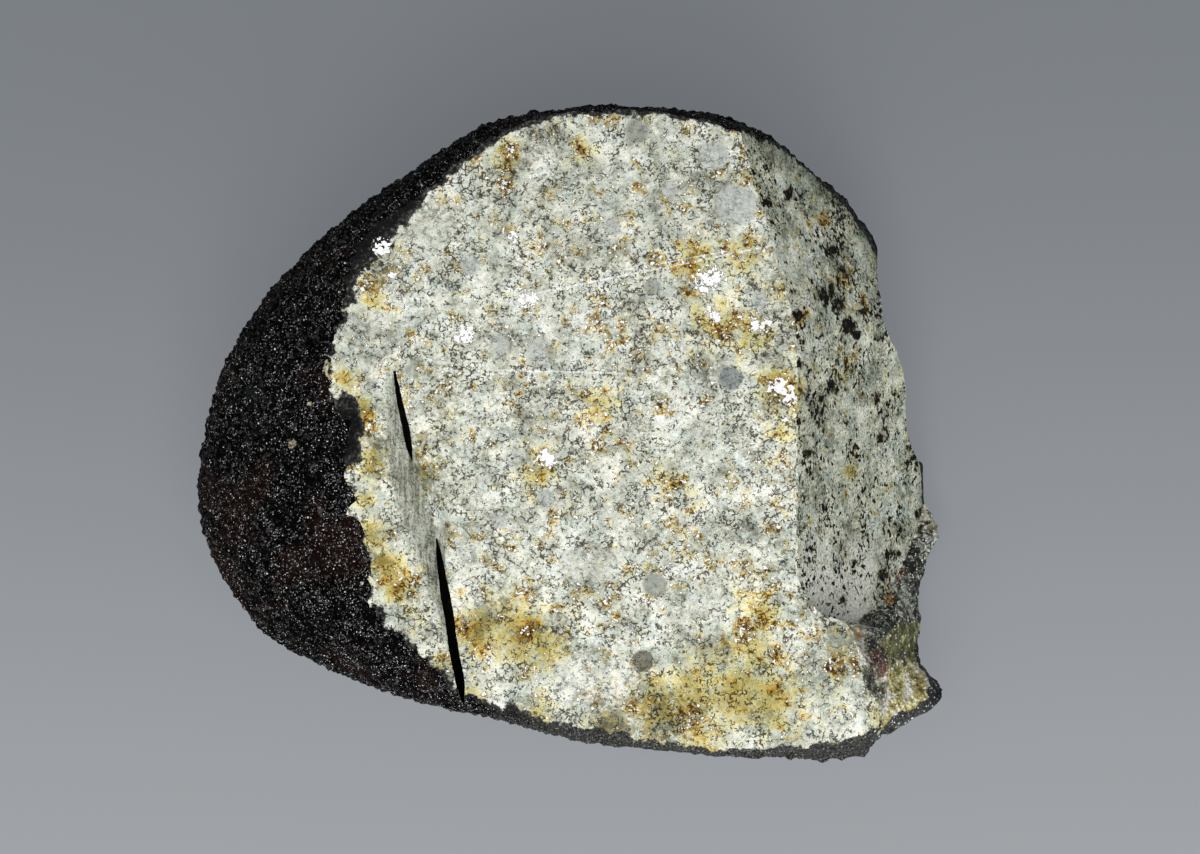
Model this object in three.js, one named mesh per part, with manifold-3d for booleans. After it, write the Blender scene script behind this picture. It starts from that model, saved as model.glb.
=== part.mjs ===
// A stony meteorite (an ordinary chondrite), 60 mm long, made the way the real one was: a rounded stone
// with a burnt crust, broken at its back and at one end, then sawn flat across the front and across that
// end. It is one stone, so it is one solid. It lies on its crusted back, on a small flat spot.
//
// Millimetres. +Z is up, square to the front face. +X points to the sawn end and -X to the crusted nose.
// The origin is the middle of the flat spot, but until the last step heights count from the girth, the
// stone's widest outline.
import * as THREE from 'three';
import { mergeVertices } from 'three/addons/utils/BufferGeometryUtils.js';
import Module from 'manifold-3d';

const { sin, cos, abs, sqrt, floor, hypot, atan2, exp } = Math;
const { clamp, degToRad, lerp, radToDeg, smoothstep } = THREE.MathUtils;

// ---- Driving dimensions ----

// The crusted stone before it was broken and sawn. Both lists go round the girth in equal steps,
// anticlockwise from +X: how far out the crust is, and how square the shoulder above it is (2 is an
// ellipse, 8 is nearly a box).
const crust = {
  radius: [33.5, 31.6, 30.6, 28.5, 27.9, 26.45, 25.75, 25.5, 24.2, 24.6, 26.2, 28.0,
    29.3, 31.0, 29.8, 26.9, 25.1, 23.8, 24.3, 26.3, 29.9, 34.9, 39.0, 38.8],
  squareness: [6, 6, 7, 8, 10, 12, 11, 6.8, 5.6, 4.8, 3.1, 2.65,
    2.1, 2.0, 2.2, 3.3, 4.4, 8, 8, 10, 12, 8, 7, 6],
  frontHeight: 16, // of the front dome before it was sawn off
  backDepth: 14,
  backSquareness: 2.4,
  facets: 16, // subdivisions of each edge of the starting icosahedron
};

// Shallow thumbprints that the air melted into the crust, and how wide (degrees) and deep each one is.
const thumbprints = [
  { azimuth: 205, elevation: -42, width: 17, depth: 1.1 },
  { azimuth: 248, elevation: -28, width: 15, depth: 0.9 },
  { azimuth: 292, elevation: -46, width: 18, depth: 1.2 },
  { azimuth: 118, elevation: -38, width: 17, depth: 1.1 },
  { azimuth: 160, elevation: -24, width: 14, depth: 0.8 },
  { azimuth: 76, elevation: -22, width: 13, depth: 0.7 },
  { azimuth: 330, elevation: -62, width: 14, depth: 0.8 },
  { azimuth: 316.5, elevation: -5, width: 4, depth: 1.1 },
];

// Swellings beside the spur and at the knob above it, and how wide (degrees) and high each one is.
const swellings = [
  { azimuth: 311, elevation: 12, width: 10, height: 1.1 },
  { azimuth: 321, elevation: -8, width: 7, height: 0.7 },
  { azimuth: 348.5, elevation: -17.5, width: 5, height: 0.8 },
];
const broadSwell = 0.35; // height of the broad unevenness all over the crust

const spotDepth = 0.3; // how much of the back is worn away at the flat spot
const girthHeight = crust.backDepth - spotDepth;
const frontFace = 13;

// The end was sawn by a small round blade, in two strokes that meet on a faint ridge.
const endCut = {
  slope: 64, // degrees from the front face
  edgeX: 18.0, // where the stroke leaves the front face
  upperTurn: 16, // how far the upper stroke is turned from the lower one
  ridgeY: 8.1,
  bladeRadius: 22,
  bladeY: 6.2, // the middle of the blade
  bladeDown: 7, // and how far down the sawn face it is
  rimLift: 0.16, // how much less the worn rim reaches at the front face, as a share of its radius
  rimReach: 0.45, // how far down the sawn face that fades
  flare: 0.3, // how much wider the snapped stone opens, for each millimetre away from the sawn face
};

// The stone snapped off below the blade's rim, in a steep wall with a spur at its foot. The lists give
// how far out the wall stands at the front face and at footZ, in equal steps of y from startY.
const endBreak = {
  startY: -28,
  step: 2,
  front: [23.5, 23.8, 24.2, 24.5, 23.7, 23.1, 22.2, 21.0, 19.7, 18.9, 18.6, 18.6, 18.6],
  foot: [24.0, 24.0, 28.0, 31.0, 29.5, 28.3, 28.9, 28.6, 28.6, 29.2, 30.6, 30.6, 30.6],
  footZ: -9,
  spurY: -19.5, // below this the wall doesn't slope but steps out, in the spur's ledge
};

// The older break at the back, through this point of the sawn end and square to this direction. The list
// is how far it stands out from that plane along the sawn end's edge, in equal steps from start.
const backBreak = {
  through: [27.1, 2.6, -5.2],
  facing: [0.591, 0.336, -0.734],
  edge: [5.5, 5.8, 6.0, 4.6, 2.7, 1.1, 0.5, 0.5, 0.9, 1.0, 0.6, -0.5, -0.7, 0.2, 1.8, 5.0, 5.4],
  start: -14,
  step: 1.8,
  edgeReach: 5, // how far from the edge the list still counts
};

// A second, abandoned saw cut: a narrow slot in two stretches, beside a ground slope on its nose side. The
// taper gives the share of its width that each stretch has, in equal steps along it.
const kerf = {
  upper: {
    from: [-14.0, 4.8], to: [-12.6, -2.3], depth: 3.6, width: 0.56,
    taper: [0.35, 0.6, 0.75, 0.9, 1.0, 1.0, 0.85, 0.12],
  },
  lower: {
    from: [-10.65, -8.5], to: [-8.5, -21.7], depth: 6.2, width: 0.76,
    taper: [0.2, 0.62, 0.8, 1.0, 1.0, 0.95, 1.0, 1.0, 0.85, 0.15],
  },
  slope: { centre: [-11.75, -5.6], length: 21.5, width: 2.4, depth: 1.6 },
  chip: { centre: [-11.4, -5.3], length: 6.5, width: 1.7, depth: 0.9 },
};

const stoneColor = 0xb9b7a6;

// ---- Solids for joining and cutting ----

const wasm = await Module();
wasm.setup();

function solidOf(geometry) {
  geometry.deleteAttribute('normal');
  geometry.deleteAttribute('uv');
  const merged = mergeVertices(geometry, 1e-4);
  const vertProperties = Float32Array.from(merged.attributes.position.array);
  const triVerts = Uint32Array.from(merged.index.array);
  return new wasm.Manifold(new wasm.Mesh({ numProp: 3, vertProperties, triVerts }));
}

function geometryOf(solid) {
  const { vertProperties, triVerts } = solid.getMesh();
  const geometry = new THREE.BufferGeometry();
  geometry.setAttribute('position', new THREE.BufferAttribute(vertProperties, 3));
  geometry.setIndex(new THREE.BufferAttribute(triVerts, 1));
  const faceted = geometry.toNonIndexed();
  faceted.computeVertexNormals();
  return faceted;
}

// Moves every vertex of a geometry to where place(vertex) puts it.
function reshape(geometry, place) {
  const position = geometry.attributes.position;
  const vertex = new THREE.Vector3();
  for (let i = 0; i < position.count; i++) {
    vertex.fromBufferAttribute(position, i);
    place(vertex);
    position.setXYZ(i, vertex.x, vertex.y, vertex.z);
  }
  return geometry;
}

// ---- The crusted stone ----

// A smooth curve through evenly spaced values, at a place counted in steps. at(i) is the value of step i.
function smoothCurve(at, place) {
  const start = floor(place);
  const t = place - start;
  const [a, b, c, d] = [at(start - 1), at(start), at(start + 1), at(start + 2)];
  return b + 0.5 * t * (c - a + t * (2 * a - 5 * b + 4 * c - d + t * (3 * (b - c) + d - a)));
}

function roundGirth(values, azimuth) {
  const { length } = values;
  return smoothCurve((i) => values[(i + 2 * length) % length], (azimuth / (2 * Math.PI)) * length);
}

function alongList(values, place) {
  const last = values.length - 1;
  return smoothCurve((i) => values[clamp(i, 0, last)], clamp(place, 0, last));
}

// 1 in the middle of a thumbprint or swelling, and fading away from it.
function nearness(direction, mark) {
  const [azimuth, elevation] = [degToRad(mark.azimuth), degToRad(mark.elevation)];
  const flat = cos(elevation);
  const middle = new THREE.Vector3(flat * cos(azimuth), flat * sin(azimuth), sin(elevation));
  const away = direction.angleTo(middle) / degToRad(mark.width);
  return exp(-away * away);
}

function unevenness(direction) {
  const { x, y, z } = direction;
  const broad = sin(5.1 * x + 2.3 * z + 1.3) * sin(4.3 * y + 0.4);
  const fine = sin(9.7 * y - 6.1 * z + 2.0);
  let height = broadSwell * (broad + 0.5 * fine);
  for (const print of thumbprints) height -= print.depth * nearness(direction, print);
  for (const swelling of swellings) height += swelling.height * nearness(direction, swelling);
  return height;
}

function crustPoint(direction) {
  const azimuth = atan2(direction.y, direction.x);
  const radius = roundGirth(crust.radius, azimuth);
  const above = direction.z > 0;
  const height = above ? crust.frontHeight : crust.backDepth;
  const squareness = above ? roundGirth(crust.squareness, azimuth) : crust.backSquareness;
  const out = sqrt(1 - direction.z * direction.z);
  const reach = (out ** squareness + abs(direction.z) ** squareness) ** (-1 / squareness);
  const bumped = 1 + unevenness(direction) / radius;
  return new THREE.Vector3(
    radius * reach * direction.x * bumped,
    radius * reach * direction.y * bumped,
    height * reach * direction.z * bumped,
  );
}

function crustedStone() {
  const ball = new THREE.IcosahedronGeometry(1, crust.facets);
  return solidOf(reshape(ball, (vertex) => vertex.copy(crustPoint(vertex.normalize()))));
}

// ---- Breaks ----

// Rough relief of a broken face, in its own plane.
function hackle(u, v) {
  return 0.55 * sin(0.42 * u + 0.9) * cos(0.37 * v + 0.3)
    + 0.32 * sin(0.95 * u + 0.71 * v + 1.1)
    + 0.2 * sin(2.1 * u - 1.3 * v) * sin(1.7 * v + 0.6);
}

// A block that takes away what a break took. Its lower face has the relief height(x, y).
function breakBlock(width, length, spacing, height) {
  const thickness = 30;
  const block = new THREE.BoxGeometry(
    width, length, thickness, floor(width / spacing), floor(length / spacing), 1,
  );
  return reshape(block, (vertex) => {
    vertex.z += thickness / 2;
    if (vertex.z < 1e-6) vertex.z = height(vertex.x, vertex.y);
  });
}

// The block's y runs along the edge that this break shares with the sawn end.
function backBreakBlock() {
  const facing = new THREE.Vector3(...backBreak.facing).normalize();
  const slope = degToRad(endCut.slope);
  const along = new THREE.Vector3(sin(slope), 0, cos(slope)).cross(facing).normalize();
  const across = along.clone().cross(facing);
  const block = breakBlock(64, 64, 1.6, (x, y) => {
    const edge = alongList(backBreak.edge, (y - backBreak.start) / backBreak.step);
    return lerp(edge, hackle(x, y), smoothstep(abs(x), 1, backBreak.edgeReach));
  });
  block.applyMatrix4(new THREE.Matrix4().makeBasis(across, along, facing));
  return solidOf(block.translate(...backBreak.through));
}

// How far out the end wall stands at this place of it.
function endWallX(y, z) {
  const place = (y - endBreak.startY) / endBreak.step;
  const down = (frontFace - z) / (frontFace - endBreak.footZ);
  const ledge = smoothstep(endBreak.spurY - y, -1, 1);
  const out = lerp(down, smoothstep(down, 0.4, 0.9), ledge);
  return lerp(alongList(endBreak.front, place), alongList(endBreak.foot, place), out)
    + 0.5 * hackle(y, z);
}

function endBreakBlock() {
  const [middleX, middleY] = [24, -22];
  const block = breakBlock(48, 36, 1.2, (x, y) => endWallX(y + middleY, -x) - middleX);
  block.rotateY(Math.PI / 2);
  return solidOf(block.translate(middleX, middleY, 0));
}

// ---- Saw cuts ----

function frontCutBlock() {
  const thickness = 20;
  return solidOf(new THREE.BoxGeometry(100, 90, thickness).translate(0, 0, frontFace + thickness / 2));
}

// The blade's flat side makes the end face, and its rim the ledge below it.
function endCutBlade() {
  const slope = degToRad(endCut.slope);
  const reach = 26;
  const blade = new THREE.CylinderGeometry(endCut.bladeRadius, endCut.bladeRadius, reach, 128);
  blade.rotateZ(-Math.PI / 2);
  reshape(blade, (vertex) => {
    const away = vertex.x + reach / 2;
    const wider = 1 + (endCut.flare * away * smoothstep(-vertex.z, 0, 9)) / endCut.bladeRadius;
    vertex.y *= wider;
    vertex.z *= wider;
    const down = Math.max(endCut.bladeDown - vertex.z, 0);
    if (vertex.y < 0) vertex.y *= 1 - endCut.rimLift * exp(-down / endCut.rimReach);
  });
  blade.translate(reach / 2, 0, -endCut.bladeDown);
  blade.rotateY(slope - Math.PI / 2);
  return solidOf(blade.translate(endCut.edgeX, endCut.bladeY, frontFace));
}

function upperEndCutBlock() {
  const [height, depth, thickness] = [50, 90, 30];
  const block = new THREE.BoxGeometry(thickness, height, depth);
  block.translate(thickness / 2, height / 2 - 12, 0);
  block.rotateY(degToRad(endCut.slope - 90));
  block.rotateZ(degToRad(endCut.upperTurn));
  return solidOf(block.translate(endCut.edgeX, endCut.ridgeY, frontFace));
}

// ---- The abandoned saw cut ----

function slotBox({ from, to, depth, width, taper }) {
  const [dx, dy] = [to[0] - from[0], to[1] - from[1]];
  const run = hypot(dx, dy);
  const steps = 2 * (taper.length - 1);
  const box = new THREE.BoxGeometry(width, run, depth + 2, 1, steps, 1);
  reshape(box, (vertex) => {
    vertex.x *= alongList(taper, (0.5 - vertex.y / run) * (taper.length - 1));
  });
  box.translate(0, 0, frontFace + 1 - depth / 2);
  box.rotateZ(atan2(dx, -dy));
  return solidOf(box.translate((from[0] + to[0]) / 2, (from[1] + to[1]) / 2, 0));
}

// The angle, from -Y, of the line that both stretches of the slot follow.
const kerfTurn = atan2(
  kerf.lower.to[0] - kerf.upper.from[0], kerf.upper.from[1] - kerf.lower.to[1],
);

// A long shallow scoop, of which only the part on one side of the slot's line is kept.
function scoop({ centre, length, width, depth }, side) {
  const bowl = new THREE.IcosahedronGeometry(1, 7).scale(width, length / 2, depth);
  const keep = new THREE.BoxGeometry(width + 2, length + 2, 2 * depth + 2);
  keep.translate((side * (width + 2)) / 2, 0, 0);
  const half = solidOf(bowl).intersect(solidOf(keep));
  return half.rotate([0, 0, radToDeg(kerfTurn)]).translate([...centre, frontFace]);
}

// ---- The stone ----

const cutters = [
  backBreakBlock(),
  endBreakBlock(),
  endCutBlade(),
  upperEndCutBlock(),
  frontCutBlock(),
  slotBox(kerf.upper),
  slotBox(kerf.lower),
  scoop(kerf.slope, -1),
  scoop(kerf.chip, 1),
];
let solid = crustedStone();
for (const cutter of cutters) solid = solid.subtract(cutter);

const spotBlock = new THREE.BoxGeometry(90, 90, 20).translate(0, 0, -girthHeight - 10);
solid = solid.subtract(solidOf(spotBlock)).simplify(0.01);

const stone = new THREE.Mesh(
  geometryOf(solid).translate(0, 0, girthHeight),
  new THREE.MeshStandardMaterial({ color: stoneColor, roughness: 0.85, metalness: 0 }),
);
stone.name = 'stone';

const meteorite = new THREE.Group();
meteorite.add(stone);
export default meteorite;
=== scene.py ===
from math import atan2, cos, hypot, pi, radians, sin

import bpy
import numpy as np
from mathutils import Matrix, Vector, noise
from mathutils.bvhtree import BVHTree


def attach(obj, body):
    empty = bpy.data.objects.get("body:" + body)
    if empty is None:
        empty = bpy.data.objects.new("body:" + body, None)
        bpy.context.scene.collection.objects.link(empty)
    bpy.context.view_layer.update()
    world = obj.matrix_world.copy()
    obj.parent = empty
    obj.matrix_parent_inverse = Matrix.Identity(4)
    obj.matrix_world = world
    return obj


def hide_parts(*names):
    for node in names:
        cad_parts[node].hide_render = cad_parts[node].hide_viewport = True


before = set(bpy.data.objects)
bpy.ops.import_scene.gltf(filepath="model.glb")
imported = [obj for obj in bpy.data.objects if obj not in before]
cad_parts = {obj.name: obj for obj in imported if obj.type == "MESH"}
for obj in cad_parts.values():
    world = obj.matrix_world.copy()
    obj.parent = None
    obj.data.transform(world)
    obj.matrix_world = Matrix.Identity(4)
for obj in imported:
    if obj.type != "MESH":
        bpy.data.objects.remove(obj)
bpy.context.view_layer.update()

# The stone is shaped in millimetres with its girth at height 0.
# At the end it is made metres and set on its spot.
girthHeight = 13.7
frontFace = 13.0
materialOrder = ["crust", "sawnFront", "sawnEnd", "brokenStone", "slotWall"]


def deselectAll():
    if bpy.context.object and bpy.context.object.mode != "OBJECT":
        bpy.ops.object.mode_set(mode="OBJECT")
    bpy.ops.object.select_all(action="DESELECT")


def makeActive(ob):
    deselectAll()
    ob.select_set(True)
    bpy.context.view_layer.objects.active = ob


def pointsOf(ob):
    points = np.empty(len(ob.data.vertices) * 3, np.float32)
    ob.data.vertices.foreach_get("co", points)
    return points.reshape(-1, 3).astype(float)


def setPoints(ob, points):
    ob.data.vertices.foreach_set("co", np.asarray(points, np.float32).ravel())
    ob.data.update()


def applyModifier(ob, kind, **settings):
    makeActive(ob)
    modifier = ob.modifiers.new(kind.title(), kind)
    for key, value in settings.items():
        setattr(modifier, key, value)
    bpy.ops.object.modifier_apply(modifier=modifier.name)


def smoothStep(x, low, high):
    t = np.clip((x - low) / (high - low), 0, 1)
    return t * t * (3 - 2 * t)


# A smooth curve through evenly spaced values, at places counted in steps.
def throughValues(values, place, closed):
    values = np.asarray(values, float)
    last = len(values) - 1
    if not closed:
        place = np.clip(place, 0, last)
    start = np.floor(place).astype(int)
    t = place - start

    def at(i):
        return values[i % len(values)] if closed else values[np.clip(i, 0, last)]

    a, b, c, d = (at(start + i) for i in (-1, 0, 1, 2))
    return b + 0.5 * t * (c - a + t * (2 * a - 5 * b + 4 * c - d + t * (3 * (b - c) + d - a)))


# ---------- crusted pebble ----------

pebble = {
    # Girth radii and how square the shoulders are, at even steps round from +X
    "radius": [33.5, 31.6, 30.6, 28.5, 27.9, 26.45, 25.75, 25.5, 24.2, 24.6, 26.2, 28.0,
               29.3, 31.0, 29.8, 26.9, 25.1, 23.65, 24.45, 26.2, 29.8, 34.9, 39.0, 38.8],
    "squareness": [6, 6, 7, 8, 10, 12, 11, 6.8, 5.6, 4.8, 3.1, 2.65,
                   2.1, 2.0, 2.2, 3.3, 4.4, 8, 8, 10, 12, 8, 7, 6],
    "frontHeight": 16.0,
    "backDepth": 14.0,
    "backSquareness": 2.4,
    "swell": 0.35,
    # Azimuth, elevation and width in degrees, then depth or height
    "thumbprints": [(205, -42, 17, 1.1), (248, -28, 15, 0.9), (292, -46, 18, 1.2), (118, -38, 17, 1.1),
                    (160, -24, 14, 0.8), (76, -22, 13, 0.7), (330, -62, 14, 0.8), (316.5, -5, 4, 1.1)],
    "swellings": [(311, 12, 10, 1.1), (321, -8, 7, 0.7), (349.5, -18, 4.5, 1.4), (30.8, -8, 2.5, 0.45)],
    "subdivisions": 7,
    # The crust's lumps and grains: height and how wide they are
    "lumps": 0.5, "lumpSize": 1.7,
    "grains": 0.62, "grainSize": 0.8,
    # The finer mesh: from and to which height, at the nose and elsewhere, and the nose's azimuths
    "fineFrom": (-0.35, -0.25), "fineTo": (0.72, 0.5), "nose": (100, 275),
}


def unevenness(way):
    x, y, z = way.T
    height = pebble["swell"] * (np.sin(5.1 * x + 2.3 * z + 1.3) * np.sin(4.3 * y + 0.4)
                                + 0.5 * np.sin(9.7 * y - 6.1 * z + 2.0))
    for sign, places in ((-1, pebble["thumbprints"]), (1, pebble["swellings"])):
        for azimuth, elevation, width, size in places:
            azimuth, elevation = radians(azimuth), radians(elevation)
            middle = [cos(elevation) * cos(azimuth), cos(elevation) * sin(azimuth), sin(elevation)]
            away = np.arccos(np.clip(way @ middle, -1, 1)) / radians(width)
            height += sign * size * np.exp(-away * away)
    return height


def crustPoints(way):
    place = np.arctan2(way[:, 1], way[:, 0]) / (2 * pi) * len(pebble["radius"])
    radius = throughValues(pebble["radius"], place, True)
    above = way[:, 2] > 0
    height = np.where(above, pebble["frontHeight"], pebble["backDepth"])
    square = np.where(above, throughValues(pebble["squareness"], place, True), pebble["backSquareness"])
    out = np.sqrt(np.clip(1 - way[:, 2] ** 2, 0, 1))
    reach = (out ** square + np.abs(way[:, 2]) ** square) ** (-1 / square)
    bumped = reach * (1 + unevenness(way) / radius)
    wide, high = radius * bumped, height * bumped
    return np.stack([wide * way[:, 0], wide * way[:, 1], high * way[:, 2]], 1)


# Splits every face whose corners are all wanted.
def refine(ob, wanted):
    makeActive(ob)
    bpy.ops.object.mode_set(mode="EDIT")
    bpy.ops.mesh.select_all(action="DESELECT")
    bpy.ops.object.mode_set(mode="OBJECT")
    chosen = [all(wanted[i] for i in face.vertices) for face in ob.data.polygons]
    ob.data.polygons.foreach_set("select", chosen)
    bpy.ops.object.mode_set(mode="EDIT")
    bpy.ops.mesh.select_mode(type="FACE")
    bpy.ops.mesh.subdivide(number_cuts=1)
    bpy.ops.mesh.quads_convert_to_tris()
    bpy.ops.object.mode_set(mode="OBJECT")


def makePebble():
    deselectAll()
    bpy.ops.mesh.primitive_ico_sphere_add(subdivisions=pebble["subdivisions"], radius=1)
    ob = bpy.context.object
    ob.name = "stone"
    # The crust that shows most gets a finer mesh.
    way = pointsOf(ob)
    azimuth = np.degrees(np.arctan2(way[:, 1], way[:, 0])) % 360
    nose = (azimuth > pebble["nose"][0]) & (azimuth < pebble["nose"][1])
    above = way[:, 2] > np.where(nose, *pebble["fineFrom"])
    refine(ob, above & (way[:, 2] < np.where(nose, *pebble["fineTo"])))
    way = pointsOf(ob)
    way /= np.linalg.norm(way, axis=1)[:, None]
    setPoints(ob, crustPoints(way))
    for kind, size, strength in (("CLOUDS", "lumpSize", "lumps"), ("VORONOI", "grainSize", "grains")):
        texture = bpy.data.textures.new("crust" + kind.title(), kind)
        texture.noise_scale = pebble[size]
        applyModifier(ob, "DISPLACE", texture=texture, texture_coords="LOCAL",
                      strength=pebble[strength] * (1 if kind == "CLOUDS" else -1), mid_level=0.5)
    return ob


# ---------- what the breaks and the saw took away ----------

endCut = {
    "slope": 64.0,
    "edgeX": 18.0,
    "upperTurn": 16.0,
    "ridgeY": 8.1,
    "bladeRadius": 22.0,
    "bladeY": 6.2,
    "bladeDown": 7.0,
    "rimLift": 0.16,  # how much less deep the worn blade cuts at the ridge, as a share of its radius
    "rimReach": 0.45,
    "flare": 0.3,  # how much wider the snapped stone opens below the blade
    "splinters": (1.2, 0.6, 0.6),  # size, height and creases
    "upperBlock": (60, 50, 0.6, 30),  # width, length, spacing and thickness
}
endBreak = {
    "startY": -28.0,
    "step": 2.0,
    "front": [23.5, 23.8, 24.2, 24.5, 23.7, 23.1, 22.2, 21.0, 19.7, 18.9, 18.6, 18.6, 18.6],
    "foot": [24.0, 24.0, 28.0, 31.0, 29.5, 28.3, 28.9, 28.6, 28.6, 29.2, 30.6, 30.6, 30.6],
    "footZ": -9.0,
    "spurY": -19.5,
    "middle": (24, -22),
    "splinters": (1.3, 0.3, 0.5),
    "setBack": 0.2,
    "block": (40, 36, 0.32, 30),
}
backBreak = {
    "through": (27.1, 2.6, -5.2),
    "facing": (0.591, 0.336, -0.734),
    "edge": [5.5, 5.8, 6.0, 4.6, 2.7, 1.1, 0.5, 0.7, 1.2, 1.1, 0.6, -0.5, -0.7, 0.2, 1.8, 5.0, 5.4],
    "start": -14.0,
    "step": 1.8,
    "edgeReach": 5.0,
    "splinters": (1.6, 0.28),
    "block": (46, 46, 0.42, 30),
}
kerf = {
    "upper": ((-14.0, 4.8), (-12.6, -2.3), 3.6, 0.56),  # from, to, depth and width
    "lower": ((-10.65, -8.5), (-8.5, -21.7), 6.2, 0.76),
    # How much of its width the slot has along its length
    "upperTaper": [0.35, 0.6, 0.75, 0.9, 1.0, 1.0, 0.85, 0.12],
    "lowerTaper": [0.2, 0.62, 0.8, 1.0, 1.0, 0.95, 1.0, 1.0, 0.85, 0.15],
    # The ground slope beside the slot, at steps of y: the slot's line, then width and depth on either side
    "startY": 6.0,
    "stepY": -4.0,
    "line": [-14.3, -13.5, -12.7, -11.5, -10.42, -9.75, -9.1, -8.45],
    "slopeWidth": [0.6, 1.3, 2.1, 2.5, 1.9, 1.15, 0.5, 0.4],
    "chipWidth": [0.2, 0.2, 0.45, 2.0, 0.45, 0.2, 0.2, 0.2],
    "depth": [0.0, 0.9, 1.35, 1.5, 1.3, 0.8, 0.3, 0.1],
    "spacing": 0.24,
    "waver": 0.12, "roughness": 0.05,
}
frontBlock = (84, 66, 0.45, 20)
spotBlock = (60, 50, 2, 10)


def hackle(u, v):
    return (0.55 * np.sin(0.42 * u + 0.9) * np.cos(0.37 * v + 0.3)
            + 0.32 * np.sin(0.95 * u + 0.71 * v + 1.1)
            + 0.2 * np.sin(2.1 * u - 1.3 * v) * np.sin(1.7 * v + 0.6))


# Splintery relief finer than hackle, a few tenths of a millimetre high, with creases between small facets.
def splinters(points, size, height, creased=0.0):
    rough = height * np.array([noise.fractal(Vector(p) / size, 0.7, 2.1, 4) for p in points])
    if creased:
        rough += creased * np.array([noise.voronoi(Vector(p) / (1.3 * size))[0][0] for p in points])
    return rough


# A closed block over a grid of the given size, whose lower face is moved by place(points).
def gridBlock(width, length, spacing, thickness, place=None):
    deselectAll()
    across, along = int(width / spacing), int(length / spacing)
    bpy.ops.mesh.primitive_grid_add(x_subdivisions=across, y_subdivisions=along, size=1)
    ob = bpy.context.object
    under = pointsOf(ob) * [width, length, 1]
    setPoints(ob, under)
    bpy.ops.object.mode_set(mode="EDIT")
    bpy.ops.mesh.select_all(action="SELECT")
    bpy.ops.mesh.extrude_region_move(TRANSFORM_OT_translate={"value": (0, 0, thickness)})
    bpy.ops.mesh.select_all(action="SELECT")
    bpy.ops.mesh.normals_make_consistent(inside=False)
    bpy.ops.object.mode_set(mode="OBJECT")
    if place:
        points = pointsOf(ob)
        low = points[:, 2] < thickness / 2
        points[low] = place(points[low])
        setPoints(ob, points)
    return ob


def useMaterials(ob, names):
    for name in materialOrder:
        ob.data.materials.append(bpy.data.materials[name])
    ob.data.polygons.foreach_set("material_index", [materialOrder.index(name) for name in names])


def moveBy(ob, matrix):
    ob.data.transform(matrix)
    ob.data.update()


def backBreakBlock():
    facing = Vector(backBreak["facing"]).normalized()
    slope = radians(endCut["slope"])
    along = Vector((sin(slope), 0, cos(slope))).cross(facing).normalized()
    across = along.cross(facing)

    def place(points):
        x, y = points[:, 0], points[:, 1]
        edge = throughValues(backBreak["edge"], (y - backBreak["start"]) / backBreak["step"], False)
        inside = smoothStep(np.abs(x), 1, backBreak["edgeReach"])
        relief = splinters(points, *backBreak["splinters"])
        points[:, 2] = edge + (hackle(x, y) - edge) * inside + relief
        return points

    ob = gridBlock(*backBreak["block"], place)
    turn = Matrix((across, along, facing)).transposed().to_4x4()
    moveBy(ob, Matrix.Translation(backBreak["through"]) @ turn)
    return ob


def endWallX(y, z):
    place = (y - endBreak["startY"]) / endBreak["step"]
    down = (frontFace - z) / (frontFace - endBreak["footZ"])
    ledge = smoothStep(endBreak["spurY"] - y, -1, 1)
    out = down + (smoothStep(down, 0.4, 0.9) - down) * ledge
    front, foot = (throughValues(endBreak[k], place, False) for k in ("front", "foot"))
    return front + (foot - front) * out + 0.5 * hackle(y, z)


def endBreakBlock():
    middleX, middleY = endBreak["middle"]

    def place(points):
        wall = endWallX(points[:, 1] + middleY, -points[:, 0])
        points[:, 2] = wall - middleX + splinters(points, *endBreak["splinters"]) - endBreak["setBack"]
        return points

    ob = gridBlock(*endBreak["block"], place)
    moveBy(ob, Matrix.Translation((middleX, middleY, 0)) @ Matrix.Rotation(pi / 2, 4, "Y"))
    return ob


# How deep the ground slope and the chip lie under the front face, how far a place is from the slot's line,
# and how much it is part of them.
def slopeBeside(points):
    place = (points[:, 1] - kerf["startY"]) / kerf["stepY"]
    line, slopeWidth, chipWidth, depth = (throughValues(kerf[k], place, False)
                                          for k in ("line", "slopeWidth", "chipWidth", "depth"))
    aside = points[:, 0] - line
    rise = np.clip(1 - np.where(aside < 0, -aside / slopeWidth, aside / chipWidth), 0, 1)
    inside = smoothStep(place, 0.15, 0.5) * (1 - smoothStep(place, 5.6, 6.6))
    return depth * inside * np.where(aside < 0, rise ** 1.35, smoothStep(rise, 0, 1)), aside, rise * inside


def frontCutBlock():
    ob = gridBlock(*frontBlock)
    points = pointsOf(ob)
    refine(ob, (points[:, 2] < 1) & (np.abs(slopeBeside(points)[1]) < 3) & (np.abs(points[:, 1] + 7) < 14))
    points = pointsOf(ob)
    points[:, 2] -= np.where(points[:, 2] < 1, slopeBeside(points)[0], 0)
    setPoints(ob, points)
    moveBy(ob, Matrix.Translation((0, 0, frontFace)))
    return ob


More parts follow.
